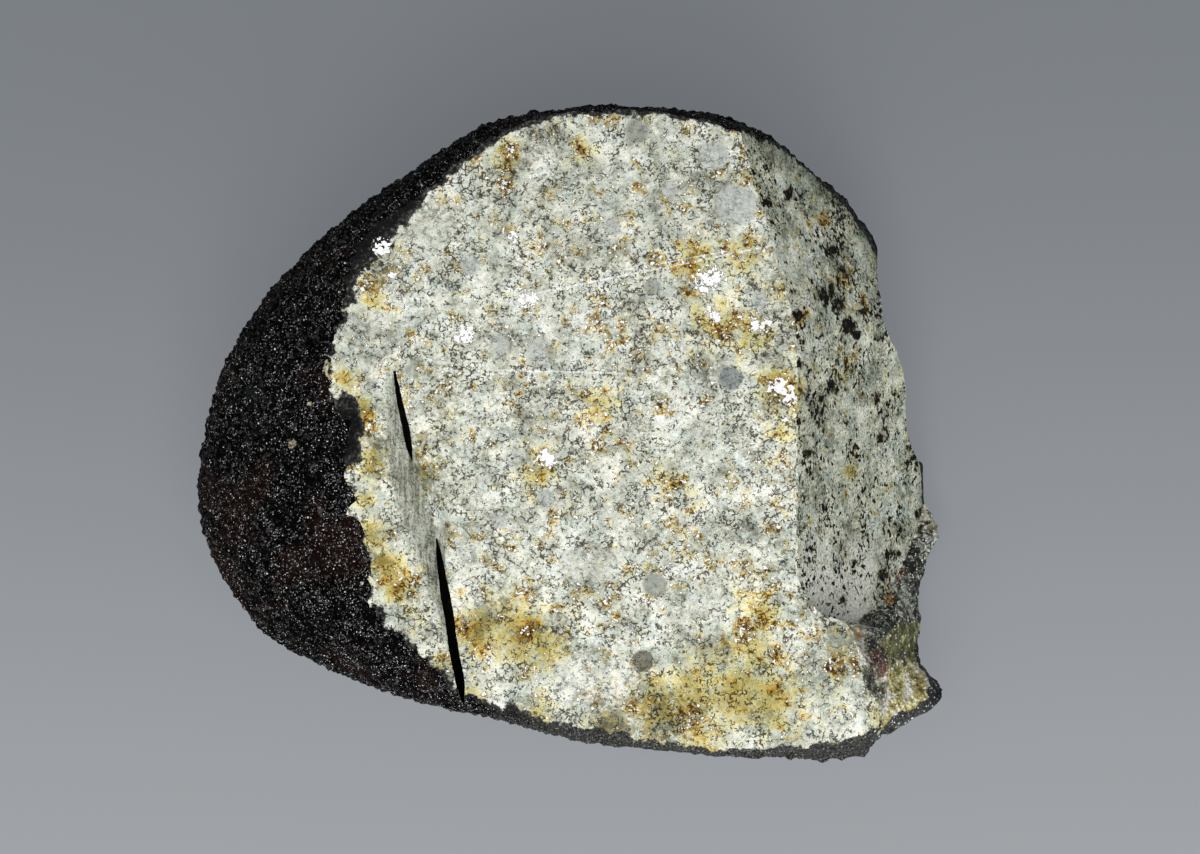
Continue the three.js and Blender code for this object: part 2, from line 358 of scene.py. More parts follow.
def endCutBlade():
    reach = 26
    deselectAll()
    bpy.ops.mesh.primitive_cylinder_add(vertices=180, radius=endCut["bladeRadius"], depth=reach,
                                        end_fill_type="TRIFAN")
    ob = bpy.context.object
    # A finer face where the blade's flat side cuts, finest at the ridge
    bpy.ops.object.mode_set(mode="EDIT")
    bpy.ops.mesh.select_all(action="SELECT")
    atRidge = -endCut["bladeDown"] + np.array([-0.3, 0.0, 0.12, 0.25, 0.45, 0.7, 1.0, 1.4])
    for step in [*np.arange(-21.6, 22, 0.6), *atRidge]:
        for normal in ((1, 0, 0),) if step in atRidge else ((1, 0, 0), (0, 1, 0)):
            bpy.ops.mesh.select_all(action="SELECT")
            bpy.ops.mesh.bisect(plane_co=(step, step, 0), plane_no=normal)
    for step in np.arange(0.4, 10, 0.4):
        bpy.ops.mesh.select_all(action="SELECT")
        bpy.ops.mesh.bisect(plane_co=(0, 0, step - reach / 2), plane_no=(0, 0, 1))
    bpy.ops.object.mode_set(mode="OBJECT")
    # The stone outside the blade's rim snapped off.
    middles = np.array([face.center for face in ob.data.polygons])
    outside = np.hypot(middles[:, 0], middles[:, 1]) > endCut["bladeRadius"] * 0.995
    useMaterials(ob, np.where(outside, "brokenStone", "sawnEnd"))
    points = pointsOf(ob)
    away = points[:, 2] + reach / 2
    low = smoothStep(points[:, 0], 0, 9)
    onRim = np.hypot(points[:, 0], points[:, 1]) > endCut["bladeRadius"] * 0.99
    rough = np.minimum(away, 1) * splinters(points, *endCut["splinters"])
    wider = 1 + onRim * low * (endCut["flare"] * away + rough) / endCut["bladeRadius"]
    points[:, :2] *= wider[:, None]
    below = np.maximum(points[:, 0] + endCut["bladeDown"], 0)
    lift = endCut["rimLift"] * np.exp(-below / endCut["rimReach"])
    points[:, 1] *= np.where(points[:, 1] < 0, 1 - lift, 1)
    setPoints(ob, points)
    slope = radians(endCut["slope"])
    moveBy(ob, Matrix.Translation((endCut["edgeX"], endCut["bladeY"], frontFace))
           @ Matrix.Rotation(slope - pi / 2, 4, "Y")
           @ Matrix.Translation((reach / 2, 0, -endCut["bladeDown"]))
           @ Matrix.Rotation(pi / 2, 4, "Y"))
    return ob


def upperEndCutBlock():
    ob = gridBlock(*endCut["upperBlock"])
    moveBy(ob, Matrix.Translation((endCut["edgeX"], endCut["ridgeY"], frontFace))
           @ Matrix.Rotation(radians(endCut["upperTurn"]), 4, "Z")
           @ Matrix.Rotation(radians(endCut["slope"] - 90), 4, "Y")
           @ Matrix.Translation((0, 13, 0))
           @ Matrix.Rotation(pi / 2, 4, "Y"))
    return ob


def slotBox(start, end, depth, width, taper):
    run = hypot(end[0] - start[0], end[1] - start[1])
    ob = gridBlock(width, run, kerf["spacing"], depth + 2)
    points = pointsOf(ob)
    points[:, 2] -= depth
    points[:, 0] *= throughValues(taper, (0.5 - points[:, 1] / run) * (len(taper) - 1), False)
    # The slot's walls waver a little, as the blade did.
    waver = np.array([noise.noise(Vector((0.4 * p[1], 0.5 * p[2], start[0]))) for p in points])
    rough = np.array([noise.noise(Vector((2.2 * p[0], 2.2 * p[1], 2.2 * p[2]))) for p in points])
    points[:, 0] += kerf["waver"] * waver + kerf["roughness"] * rough
    setPoints(ob, points)
    turn = atan2(end[0] - start[0], start[1] - end[1])
    moveBy(ob, Matrix.Translation(((start[0] + end[0]) / 2, (start[1] + end[1]) / 2, frontFace))
           @ Matrix.Rotation(turn, 4, "Z"))
    return ob


kerfTurn = atan2(kerf["lower"][1][0] - kerf["upper"][0][0], kerf["upper"][0][1] - kerf["lower"][1][1])


def spotCutBlock():
    ob = gridBlock(*spotBlock)
    moveBy(ob, Matrix.Translation((0, 0, -girthHeight - spotBlock[3])))
    return ob


def cutAway(ob, cutter, material=None):
    if material:
        useMaterials(cutter, [material] * len(cutter.data.polygons))
    applyModifier(ob, "BOOLEAN", object=cutter, operation="DIFFERENCE", solver="MANIFOLD")
    bpy.data.objects.remove(cutter)


# ---------- stone ----------

for name in materialOrder:
    bpy.data.materials.new(name)

stone = makePebble()
for name in materialOrder:
    stone.data.materials.append(bpy.data.materials[name])
crustTree = BVHTree.FromPolygons(pointsOf(stone).tolist(), [list(f.vertices) for f in stone.data.polygons])
print("pebble", len(stone.data.polygons), "faces")

cutAway(stone, backBreakBlock(), "brokenStone")
cutAway(stone, endBreakBlock(), "brokenStone")
cutAway(stone, endCutBlade())
cutAway(stone, upperEndCutBlock(), "sawnEnd")
cutAway(stone, frontCutBlock(), "sawnFront")
cutAway(stone, slotBox(*kerf["upper"], kerf["upperTaper"]), "slotWall")
cutAway(stone, slotBox(*kerf["lower"], kerf["lowerTaper"]), "slotWall")
cutAway(stone, spotCutBlock(), "crust")
print("stone cut", len(stone.data.polygons), "faces")

# Corners that wear has rounded: place, radius and how many rounds
worn = [((30.4, -7.0, -8.8), 1.5, 8), ((30.9, -7.4, -9.1), 1.4, 24), ((30.6, -7.6, -9.0), 0.75, 24),
        ((23.6, -25.4, 9), 1.8, 6)]
for y in range(-14, 23):
    ridge = (18 - 0.28 * max(y - 8, 0) + 0.2 * sin(2.3 * y), y, 13)
    worn.append((ridge, 0.45 + 0.25 * sin(1.7 * y), 2))
for x, y in ((18.2, -14.4), (18.8, -15.1), (19.6, -15.6), (20.4, -16)):
    worn.append(((x, y, 12.6), 1.3, 6))
for x, y in ((21.6, -17), (22.4, -18), (23.1, -19), (23.7, -20), (24.2, -21), (24.3, -22), (24.1, -23),
             (23.9, -24)):
    worn.append(((x, y, 12.8), 0.8, 4))
closeEnough = 0.004  # corners nearer than this are one
smoothBelow = 38  # degrees between faces

makeActive(stone)
bpy.ops.object.mode_set(mode="EDIT")
bpy.ops.mesh.select_all(action="SELECT")
bpy.ops.mesh.remove_doubles(threshold=closeEnough)
bpy.ops.mesh.quads_convert_to_tris()
bpy.ops.mesh.select_mode(type="VERT")
for place, radius, rounds in worn:
    bpy.ops.mesh.select_all(action="DESELECT")
    bpy.ops.object.mode_set(mode="OBJECT")
    stone.data.vertices.foreach_set("select", np.linalg.norm(pointsOf(stone) - place, axis=1) < radius)
    bpy.ops.object.mode_set(mode="EDIT")
    bpy.ops.mesh.vertices_smooth(factor=0.5, repeat=rounds)
bpy.ops.object.mode_set(mode="OBJECT")
parts = np.zeros(len(stone.data.polygons), int)
stone.data.polygons.foreach_get("material_index", parts)
print("triangles", len(parts), dict(zip(materialOrder, np.bincount(parts).tolist())))

# How deep each point lies under the crust, for the burnt rim of the sawn faces.
crustDepth = np.array([crustTree.find_nearest(Vector(p))[3] for p in pointsOf(stone)])

bpy.ops.object.shade_smooth_by_angle(angle=radians(smoothBelow))
setPoints(stone, (pointsOf(stone) + [0, 0, girthHeight]) * 0.001)

# ---------- marks on the stone ----------

# Where each mark is on the stone, seen from above: x, y, radius in millimetres and strength.
marks = {
    "rust": [
        (-5.2, 21.9, 1, 1), (-5.8, 19.8, 0.6, 0.8), (0.4, 22.7, 0.6, 0.6), (-15.9, 11.2, 0.6, 0.8),
        (-16.2, 0.7, 0.8, 0.9), (-15.7, -2.4, 0.6, 0.6), (-13.5, -11.9, 0.9, 1), (2.4, 2.7, 0.9, 0.9),
        (2, 1.6, 0.6, 0.7), (-2.4, -2.5, 0.7, 0.7), (-8.6, -15.7, 0.6, 0.8), (-3.4, -15.9, 0.7, 0.8),
        (-7, -17.5, 0.6, 0.7), (-5.6, -14.6, 0.6, 0.5), (5.2, -21.3, 0.7, 1), (9.3, -22.4, 0.9, 1),
        (10.3, -23.4, 0.7, 0.9), (16, -20.1, 0.6, 1), (16.3, -17.7, 0.6, 0.9), (13.5, -15.9, 0.8, 0.8),
        (15.2, -13.7, 0.7, 0.6), (21, -18.8, 0.6, 0.8), (9.5, 13.5, 0.8, 0.8), (6.7, 13.9, 0.6, 0.7),
        (12.7, 14.4, 0.8, 0.7), (14.6, 14.8, 0.6, 0.6), (12, 8.1, 0.7, 0.8), (13.8, 8.7, 0.6, 0.7),
        (10.3, 10.4, 0.5, 0.7), (9.2, 11.1, 0.4, 0.6), (16.3, 4.2, 0.8, 0.9), (17.3, 3.1, 0.7, 0.9),
        (16.2, 2.1, 0.6, 0.7), (7.7, -4.1, 0.6, 0.8), (-1.5, 4.1, 0.5, 0.5), (2.4, 9.6, 0.6, 0.5),
        (4.3, 7.7, 0.6, 0.6), (8.3, 6.9, 0.5, 0.6), (-2, 12.8, 0.6, 0.5), (-3.6, 20.8, 0.5, 0.5),
        (7.1, 1.7, 0.5, 0.4), (-0.8, -7, 0.5, 0.4), (3.9, -1.9, 0.5, 0.4), (17, -2.3, 0.6, 0.6),
        (19, -16.5, 0.6, 0.5), (22.7, -18.8, 0.6, 0.7), (25, -18.6, 0.7, 1), (24.2, -15.2, 0.5, 0.8),
        (22.4, 4.8, 0.5, 0.7), (14.4, 20, 0.6, 1), (20, 17.1, 0.7, 0.8), (22.2, 12.2, 0.8, 0.8),
        (23.6, 10.6, 0.6, 0.8), (22, 5.5, 0.6, 0.7), (18.3, 8.8, 0.5, 1),
    ],
    "ochre": [
        (-17.9, 4.2, 0.7, 0.9), (-16.5, 1.6, 1, 0.9), (-15.7, -2.4, 1, 0.8), (-17.3, 0.1, 0.7, 0.7),
        (-16.2, -5.4, 0.9, 0.7), (-15.7, -8.2, 1, 0.8), (-14.5, -10.8, 1, 1), (-13.7, -12.6, 1, 0.9),
        (-12.9, -14.3, 0.8, 0.5), (-11.9, -15.7, 0.8, 0.4), (-10.3, -18.5, 1, 0.5), (-7.2, -15.6, 1.6, 0.9),
        (-4, -15.9, 1.9, 0.9), (-2, -17.2, 1.6, 0.7), (-5.6, -13.8, 1.4, 0.7), (-0.8, -15, 1.3, 0.4),
        (7.1, -21.3, 1.8, 0.7), (9.5, -20.5, 2.1, 0.8), (13.1, -20.7, 2.1, 0.9), (15.8, -21.3, 1.9, 0.8),
        (11.9, -18.5, 1.8, 0.7), (14.6, -17.7, 1.6, 0.7), (15.4, -14.6, 1.3, 0.7), (13.5, -13.4, 1.1, 0.5),
        (10.3, -24.5, 1.6, 0.6), (17.4, -22.9, 1.6, 0.5), (-8, -20.5, 0.8, 0.5), (-2.4, -22.3, 1.1, 0.6),
        (2.4, -23.3, 1.1, 0.4), (-5.2, 21.7, 1.3, 0.6), (0.8, 22.3, 1, 0.5), (-15.7, 10.4, 0.8, 0.6),
        (9.9, 13.5, 1.6, 0.7), (13.9, 14, 1.4, 0.6), (11.5, 8.9, 1.9, 0.6), (14.3, 7.3, 1.4, 0.6),
        (16.6, 3.7, 1.4, 0.8), (17, 0.1, 1.1, 0.6), (7.9, -3.8, 1.1, 0.5), (9.5, -5.4, 1.1, 0.4),
        (2.4, 2.1, 1.2, 0.6), (-2.4, -3.1, 1.4, 0.6), (-9.2, 0.9, 1.3, 0.3), (5.5, 10.4, 1.1, 0.3),
        (20.6, -20.5, 1.3, 0.3), (16.6, 11.2, 1.1, 0.4), (26.5, -17.6, 1.3, 1), (28, -21, 2.2, 0.8),
        (25.6, -22.6, 1.2, 0.9), (22.6, -3.2, 0.5, 0.9),
    ],
    "olive": [(26.8, -17.1, 1.2, 1), (27, -18.5, 1, 1), (25.9, -17.2, 0.6, 0.8), (28.1, -16.2, 0.6, 1)],
    "red": [(24.5, -18.2, 0.5, 1.1), (25.1, -19.2, 0.5, 1.1), (26.6, -11.4, 0.6, 0.6)],
    "pale": [(27.6, -21.2, 1.8, 1), (25.4, -22.8, 1.3, 1), (28.6, -20, 1.2, 0.8), (24.6, -25, 1, 0.8)],
    "spur": [(28.6, -21.4, 2.6, 1.3), (25.4, -23.6, 1.6, 1)],
    "gold": [
        (25.9, -13.6, 0.4, 0.9), (22.9, -16.2, 0.45, 0.9), (22.7, -17.6, 0.35, 0.8), (26.5, -11, 0.5, 0.7),
    ],
    # Broken places painted paler: crushed stone, and painted light on the steep wall
    "chalk": [
        (24.3, -19.8, 0.9, 1), (24.9, -21.3, 0.9, 1), (24, -18, 0.7, 0.9), (25.3, -20.4, 0.6, 0.9),
        (22.6, -15.2, 0.9, 0.8), (23.4, -16.5, 0.7, 0.7),
    ],
    # Front places painted darker: painted shade by the broken edge and beside the slot, and duller stone
    # elsewhere
    "dullAndShade": [
        (21.3, -16.7, 1.7, 0.8), (7.1, -22.9, 1.8, 0.9), (3.6, -23.2, 1.3, 1), (-8.8, 2.5, 1.3, 0.5),
        (16.6, -3.8, 1.3, 0.5), (-11.9, -3.8, 1.2, 1.1), (-11.6, -1, 1, 0.8), (-15.1, -0.7, 0.9, 0.8),
        (-15.1, -10.2, 0.9, 0.8), (-15.1, 12.4, 0.9, 0.6), (16.6, 12, 1.2, 0.5),
    ],
    "white": [
        (0.8, -19.7, 1.6, 0.8), (3.9, -19.7, 1.4, 0.7), (-5.6, -13.4, 1.1, 0.5), (-8.4, -13.4, 1.2, 0.5),
        (-2.4, 21.3, 1.4, 0.6), (-15.1, 8.9, 0.9, 0.6), (0.8, 8.9, 1.2, 0.5),
    ],
    "dust": [
        (19.4, -13.2, 1.6, 1.1), (22.8, -12.6, 1.4, 1), (19.8, -9.8, 1.2, 0.6), (23.2, -9.6, 1.2, 0.7),
        (21.2, -14.6, 1.3, 0.9), (21.8, -12.2, 1.2, 0.9), (22.6, -14.3, 1.4, 1.1), (20, -12.4, 1.4, 1),
        (23.4, -11.4, 1.3, 0.8), (24.6, -9.6, 1.1, 0.5), (18.9, -11.2, 0.9, 0.4), (23, -13.8, 0.9, 0.5),
    ],
    "chip": [
        (30.2, -6.8, 1.5, 1.6), (-19, 4.9, 0.6, 0.9), (-22.3, -1, 0.35, 0.8), (-20.6, 2.2, 0.3, 0.6),
        (-21.6, -6.3, 0.3, 0.5),
    ],
    "overlap": [
        (-17.7, 0.6, 0.95, 1.5), (-17.9, -1.2, 0.75, 1.3), (-17.5, 2.4, 0.6, 0.9), (-16.6, -2, 0.4, 0.7),
        (2.2, -24.3, 0.7, 0.35), (3.9, -24.4, 0.6, 0.4),
    ],
}
# The same for marks with a sharp edge, where only the chondrules' tone is given.
spots = {
    "flakes": [
        (11.1, 12.2, 1.4), (11.6, 12.7, 0.9), (10.5, 11.5, 0.9), (11.2, 9.5, 0.9), (11.7, 9.1, 0.6),
        (14.8, 8.4, 0.8), (15.7, 8.7, 0.6), (-8.3, 7.8, 1.1), (-8.9, 7.4, 0.6), (-3.4, 10.6, 1),
        (-4, 10.3, 0.6), (-15, 14.7, 1.1), (-14.1, 12.3, 0.6), (16.5, 3.5, 1), (17.4, 2.7, 0.8),
        (17.1, 0.9, 0.6), (-4.6, 15.4, 0.6), (-1.8, -2.1, 1),
    ],
    "pits": [
        (20.4, 10.8, 1.1), (21.6, 10.2, 0.8), (22.4, 8.5, 1.2), (23.1, 7.9, 0.7), (21, 3.6, 0.9),
        (15.6, 18.3, 0.8), (14.3, 20.5, 0.7), (21.1, 14.7, 0.7), (25.4, -11.7, 0.8), (24.8, 2.5, 0.6),
        (18.9, -1.7, 0.6), (25.9, -10, 0.7), (17.3, 18.8, 0.6), (25.2, -0.5, 0.6), (23.7, 9.8, 0.6),
        (18, 9.2, 0.6), (21.8, 13.1, 0.6), (18.2, 0.8, 0.5), (26.7, -10.1, 0.6), (18.6, -5.4, 0.5),
        (18.3, 5.4, 0.5), (22.9, -10.7, 0.5), (21.9, -13.6, 0.6), (20.1, 2.6, 0.5), (17.5, 19.2, 0.6),
        (15.6, 20.9, 0.5), (20.9, 11.6, 0.7), (18.1, 9.2, 0.8), (28.6, -6.8, 0.6),
    ],
    "chondrules": [
        (5.3, 23.9, 1, 0.2), (13.1, 18, 1.7, 0.6), (11.4, 21.9, 1.2, 0.6), (12.7, 4.2, 1, 0.35),
        (5.8, -18.2, 0.9, 0), (-11.1, 16.2, 1.9, 0.8), (6.7, -12.2, 1, 0.2), (3.3, 16.3, 0.7, 0.6),
        (6.5, 11.5, 0.7, 0.2), (-2, -5.4, 0.8, 0.5), (-2.4, 6.3, 1.2, 0.5), (-5.6, 6.9, 0.9, 0.5),
        (2.4, -10.7, 1.4, 0.8), (0.4, -10.4, 1.3, 0.8), (7.9, 19.2, 0.7, 0.6), (-8, 13.2, 0.8, 0.6),
        (10.3, 0.1, 0.8, 0.8), (5.5, 0.1, 1, 0.8), (-5.6, -7, 0.7, 0.5), (9.5, -14.2, 0.8, 0.8),
        (15, 10.4, 0.7, 0.6),
    ],
}
# How deep the burnt rim goes, at steps round the stone
rimWidth = [0.3, 0.35, 0.8, 0.25, 0.12, 0.2, 0.25, 0.35, 0.4, 1.15, 0.25, 0.0,
            0.0, 0.0, 0.0, 0.1, 0.2, 0.3, 0.38, 0.4, 0.4, 0.4, 0.4, 0.4]


def keepValues(name, values):
    kept = stone.data.attributes.new(name, "FLOAT", "POINT")
    kept.data.foreach_set("value", np.asarray(values, np.float32))


def layMarks():
    points = pointsOf(stone) * 1000
    strengths = {}
    for name, places in marks.items():
        total = np.zeros(len(points))
        for x, y, radius, strength in places:
            away = np.hypot(points[:, 0] - x, points[:, 1] - y) / radius
            total = np.maximum(total, strength * np.exp(-0.5 * away ** 2))
        strengths[name] = total
    for name, places in spots.items():
        total, tones = np.full(len(points), -1.0), np.zeros(len(points))
        for x, y, radius, *tone in places:
            rise = 1 - np.hypot(points[:, 0] - x, points[:, 1] - y) / radius
            tones = np.where(rise > total, tone or 0, tones)
            total = np.maximum(total, rise)
        strengths[name] = total
        if tone:
            strengths[name + "Tone"] = tones
    azimuth = np.arctan2(points[:, 1], points[:, 0]) / (2 * pi) * len(rimWidth)
    rim = crustDepth - throughValues(rimWidth, azimuth, True)
    strengths["rim"] = rim - strengths.pop("overlap") * (points[:, 2] > frontFace + girthHeight - 0.1)
    _, aside, rise = slopeBeside(points)
    strengths["ground"] = rise * (aside < 0.15)
    strengths["pale"] *= points[:, 2] > 6
    for name, values in strengths.items():
        keepValues(name, values)


layMarks()

# ---------- finishes ----------


def paint(red, green, blue):
    shares = (c / 255 for c in (red, green, blue))
    return tuple(((s + 0.055) / 1.055) ** 2.4 if s > 0.04045 else s / 12.92 for s in shares) + (1,)


current = {}  # the node tree that is being made


def addNode(kind, inputs={}, **settings):
    made = current["tree"].nodes.new("ShaderNode" + kind)
    for key, value in settings.items():
        setattr(made, key, value)
    for key, value in inputs.items():
        if isinstance(value, bpy.types.NodeSocket):
            current["tree"].links.new(value, made.inputs[key])
        else:
            made.inputs[key].default_value = value
    return made


def calc(operation, a, b=0.0, c=0.0, limit=False):
    return addNode("Math", {0: a, 1: b, 2: c}, operation=operation, use_clamp=limit).outputs[0]


# The sum of several values, each taken from its middle and given a weight.
def weigh(start, pairs):
    for value, weight in pairs:
        start = calc("MULTIPLY_ADD", calc("SUBTRACT", value, 0.5), weight, start)
    return start


def move(operation, a, b):
    return addNode("VectorMath", {0: a, 1: b}, operation=operation).outputs[0]


def stepUp(value, low, high, top=1.0, start=0.0):
    ends = {"Value": value, "From Min": low, "From Max": high, "To Min": start, "To Max": top}
    return addNode("MapRange", ends, interpolation_type="SMOOTHSTEP").outputs[0]


def stepDown(value, low, high):
    return stepUp(value, low, high, 0.0, 1.0)


def times(*values):
    total = values[0]
    for value in values[1:]:
        total = calc("MULTIPLY", total, value)
    return total


# Mixes two colours, each a socket, four linear numbers or three from 0 to 255.
def mix(share, a, b, mode="MIX"):
    a, b = (paint(*colour) if isinstance(colour, tuple) and len(colour) == 3 else colour for colour in (a, b))
    return addNode("Mix", {0: share, 6: a, 7: b}, data_type="RGBA", blend_type=mode).outputs[2]


def tinted(colour, tint):
    return mix(1.0, colour, tint, "MULTIPLY")


def clouds(place, scale, detail=2.0, roughness=0.5, output=0):
    return addNode("TexNoise", {"Vector": place, "Scale": scale, "Detail": detail,
                                "Roughness": roughness}).outputs[output]


# Cells of the given number per millimetre: two random numbers and the distance from the middle of each.
def cells(place, scale):
    made = addNode("TexVoronoi", {"Vector": place, "Scale": scale})
    random = addNode("SeparateColor", {0: made.outputs["Color"]})
    return random.outputs[0], random.outputs[1], made.outputs["Distance"]


def ramp(value, stops):
    made = addNode("ValToRGB", {0: value})
    elements = made.color_ramp.elements
    while len(elements) < len(stops):
        elements.new(0.5)
    for element, (place, colour) in zip(elements, stops):
        element.position = place
        element.color = paint(*colour)
    return made.outputs[0]


def attribute(name):
    return addNode("Attribute", attribute_name=name).outputs["Fac"]


# How much of a mark shows: its pattern's weight, where it starts and is full, and the most it covers.
def marked(name, pattern, weight, low, high, most=1.0):
    return stepUp(weigh(attribute(name), [(pattern, weight)]), low, high, most)


def axisOf(place, axis):
    return addNode("SeparateXYZ", {0: place}).outputs["XYZ".index(axis)]


def wobble(place, scale, amount):
    shake = move("SUBTRACT", clouds(place, scale, 2, output=1), (0.5, 0.5, 0.5))
    moved = {0: shake, 1: (amount,) * 3, 2: place}
    return addNode("VectorMath", moved, operation="MULTIPLY_ADD").outputs[0]


# Turned about the vertical and stretched, for patterns that follow a saw's strokes.
def drawnOut(place, turn, scale):
    return addNode("Mapping", {"Vector": place, "Rotation": (0, 0, turn), "Scale": scale}).outputs[0]


# Starts a material's nodes, and gives the places on its piece, in metres.
def startFinish(name):
    material = bpy.data.materials[name]
    material.use_nodes = True
    current["tree"] = material.node_tree
    return addNode("TexCoord").outputs["Object"]


def inMillimetres(place):
    return addNode("VectorMath", {0: place, 3: 1000.0}, operation="SCALE").outputs[0]


# Gives the material's shader its values and links.
def setShader(values):
    shader = current["tree"].nodes["Principled BSDF"]
    for name, value in values.items():
        if isinstance(value, bpy.types.NodeSocket):
            current["tree"].links.new(value, shader.inputs[name])
        else:
            shader.inputs[name].default_value = value


def endFinish(colour, roughness, height, reach, gloss=0.12):
    bump = addNode("Bump", {"Height": height, "Strength": 1.0, "Distance": reach / 1000})
    setShader({"Base Color": colour, "Roughness": roughness, "Specular IOR Level": gloss,
               "Normal": bump.outputs[0]})


# How many of each pattern in the stone come to a millimetre
patterns = {"broad": 0.33, "mottle": 1.1, "grain": 5.0, "patch": 0.6, "cool": 0.5, "crumb": 3.4,
            "bead": 0.62, "crowd": 0.58, "circle": 1.9, "seam": 1.3, "grit": 2.6, "rust": 0.8, "flake": 2.7}
beads = {"share": 0.36, "dark": (132, 138, 132), "light": (208, 214, 208), "rim": (84, 80, 66),
         "rimShare": 0.3, "rimWidth": 0.022}
frontLook = {
    "tones": [(118, 119, 106), (158, 161, 147), (186, 189, 174), (204, 206, 191), (220, 222, 209),
              (242, 242, 234)],
    "toneSteps": [0.28, 0.39, 0.455, 0.515, 0.58, 0.67],
    "contrast": 1.0, "crumb": 0.07, "grain": 0.4,
    "cool": (244, 249, 253),
    "veins": 0.92, "veinColour": (54, 46, 30),
    "specks": 0.3, "speckColour": (62, 54, 38),
    "goldFrom": 0.525, "flakeFrom": 0.655,
}
goldSteps = [(0.0, (255, 255, 255)), (0.22, (250, 240, 208)), (0.45, (232, 206, 146)),
             (0.68, (206, 162, 90)), (0.86, (152, 108, 56)), (1.0, (92, 66, 36))]
ochreSteps = [(0.0, (255, 255, 255)), (0.4, (253, 246, 214)), (0.75, (236, 221, 160)),
              (1.0, (210, 186, 114))]
# Metal is painted near-white: the pale metal, and a painted reflection of the light.
metalAndShine, metalRing = (250, 250, 249), (70, 54, 32)


# The inside of the stone: pale grains with thin dark seams, and rust round the flakes of metal. Gives its
# colour, the share that is bare metal, its relief, and its tone before any of these.
def stoneInside(place, look, flakes=0.0):
    mottle = clouds(place, patterns["mottle"], 5, 0.66)
    grain = clouds(place, patterns["grain"], 2, 0.8)
    loose = wobble(place, 2.4, 0.4)
    crumb, crumbOther, crumbAway = cells(loose, patterns["crumb"])
    bead, beadOther, beadAway = cells(wobble(place, 1.6, 0.16), patterns["bead"])
    patch, quiet, _ = cells(wobble(place, 1.1, 0.9), patterns["patch"])
    broad = clouds(place, patterns["broad"], 4, 0.6)
    strength = look["contrast"]
    tone = weigh(0.5, [(broad, 0.6 * strength), (mottle, 0.6 * strength), (patch, 0.08 * strength),
                       (grain, look["grain"]), (crumb, look["crumb"])])
    colour = ramp(tone, list(zip(look["toneSteps"], look["tones"])))
    bluish = stepUp(clouds(place, patterns["cool"], 4, 0.62), 0.46, 0.6)
    colour = mix(bluish, colour, tinted(colour, look["cool"]))

    # Small round chondrules, greyer than the rest, with a thin rim
    edge = calc("SUBTRACT", beadAway, calc("MULTIPLY_ADD", beadOther, 0.22, 0.16))
    isBead = calc("GREATER_THAN", bead, 0.5)
    within = times(stepDown(edge, -0.03, 0.0), isBead, beads["share"])
    colour = mix(within, colour, mix(bead, beads["dark"], beads["light"]))
    onRim = stepDown(calc("ABSOLUTE", edge), 0.0, beads["rimWidth"])
    colour = mix(times(onRim, isBead, beads["rimShare"]), colour, beads["rim"])

    # Dark seams round the grains, in clusters
    crowded = stepUp(clouds(place, patterns["crowd"], 4, 0.62), 0.47, 0.54)
    crowded = times(crowded, calc("GREATER_THAN", quiet, 0.28))
    rim = addNode("TexVoronoi", {"Vector": loose, "Scale": patterns["circle"]},
                  feature="DISTANCE_TO_EDGE").outputs["Distance"]
    gaps = stepUp(clouds(place, 2.1, 3, 0.6), 0.47, 0.53)
    circling = times(stepDown(rim, 0.05, 0.1), gaps, crowded)
    ridge = calc("SUBTRACT", clouds(loose, patterns["seam"], 3, 0.6), 0.5)
    gaps = stepUp(clouds(place, 1.5, 3, 0.6), 0.5, 0.55)
    running = times(stepDown(calc("ABSOLUTE", ridge), 0.008, 0.026), gaps)
    seams = calc("MULTIPLY", calc("MAXIMUM", circling, running), look["veins"])
    isSpeck = calc("LESS_THAN", crumbOther, calc("MULTIPLY", crowded, look["specks"]))
    speck = times(isSpeck, stepDown(crumbAway, 0.2, 0.42))
    colour = mix(seams, colour, look["veinColour"])
    colour = mix(calc("MULTIPLY", speck, 0.8), colour, look["speckColour"])
    dark = calc("MAXIMUM", seams, speck)

    # Stains, deepest where the grit is
    grit = stepUp(clouds(place, patterns["grit"], 4, 0.7), 0.4, 0.62)
    rusty = clouds(place, patterns["rust"], 4, 0.62)
    rusty = calc("MULTIPLY_ADD", attribute("rust"), 0.24, rusty)
    stain = times(stepUp(rusty, look["goldFrom"], look["goldFrom"] + 0.2),
                  calc("MULTIPLY_ADD", grit, 0.8, 0.26))
    colour = tinted(colour, ramp(stain, goldSteps))
    yellow = marked("ochre", mottle, 1.8, 0.1, 0.95)
    colour = tinted(colour, ramp(yellow, ochreSteps))

    # Flakes of metal, painted near-white for their pale metal and a painted reflection of light, each in a
    # dark ring
    flake = weigh(clouds(place, patterns["flake"], 3, 0.6), [(rusty, 0.45)])
    flake = calc("MULTIPLY_ADD", attribute("ochre"), -0.05, flake)
    if flakes:
        flake = calc("MULTIPLY_ADD", calc("MAXIMUM", flakes, 0.0), 0.36, flake)
    start = look["flakeFrom"]
    metal = stepUp(flake, start, start + 0.012)
    ring = times(stepUp(flake, start - 0.06, start - 0.03), calc("SUBTRACT", 1.0, metal), 0.8)
    colour = mix(ring, colour, metalRing)
    colour = mix(metal, colour, metalAndShine)
    relief = weigh(grain, [(mottle, 1.6)])
    return colour, metal, calc("SUBTRACT", relief, calc("MULTIPLY", dark, 0.8)), tone


# Painted light: how far down the stone's low side the crust starts and ends being painted lighter
lowSideLight = {"from": 21.5, "full": 24.5, "most": 0.8, "unevenness": 6.0}  # distance down the stone's low side
lowSideLightSteps = [(0.34, (14, 14, 13)), (0.48, (58, 59, 56)), (0.6, (100, 101, 96)), (0.72, (190, 192, 186))]
burntSteps = [(0.36, (8, 8, 7)), (0.5, (34, 34, 32)), (0.6, (68, 68, 66)), (0.7, (128, 128, 122))]
sootySteps = [(0.42, (2, 2, 2)), (0.6, (14, 13, 12)), (0.72, (96, 96, 94))]
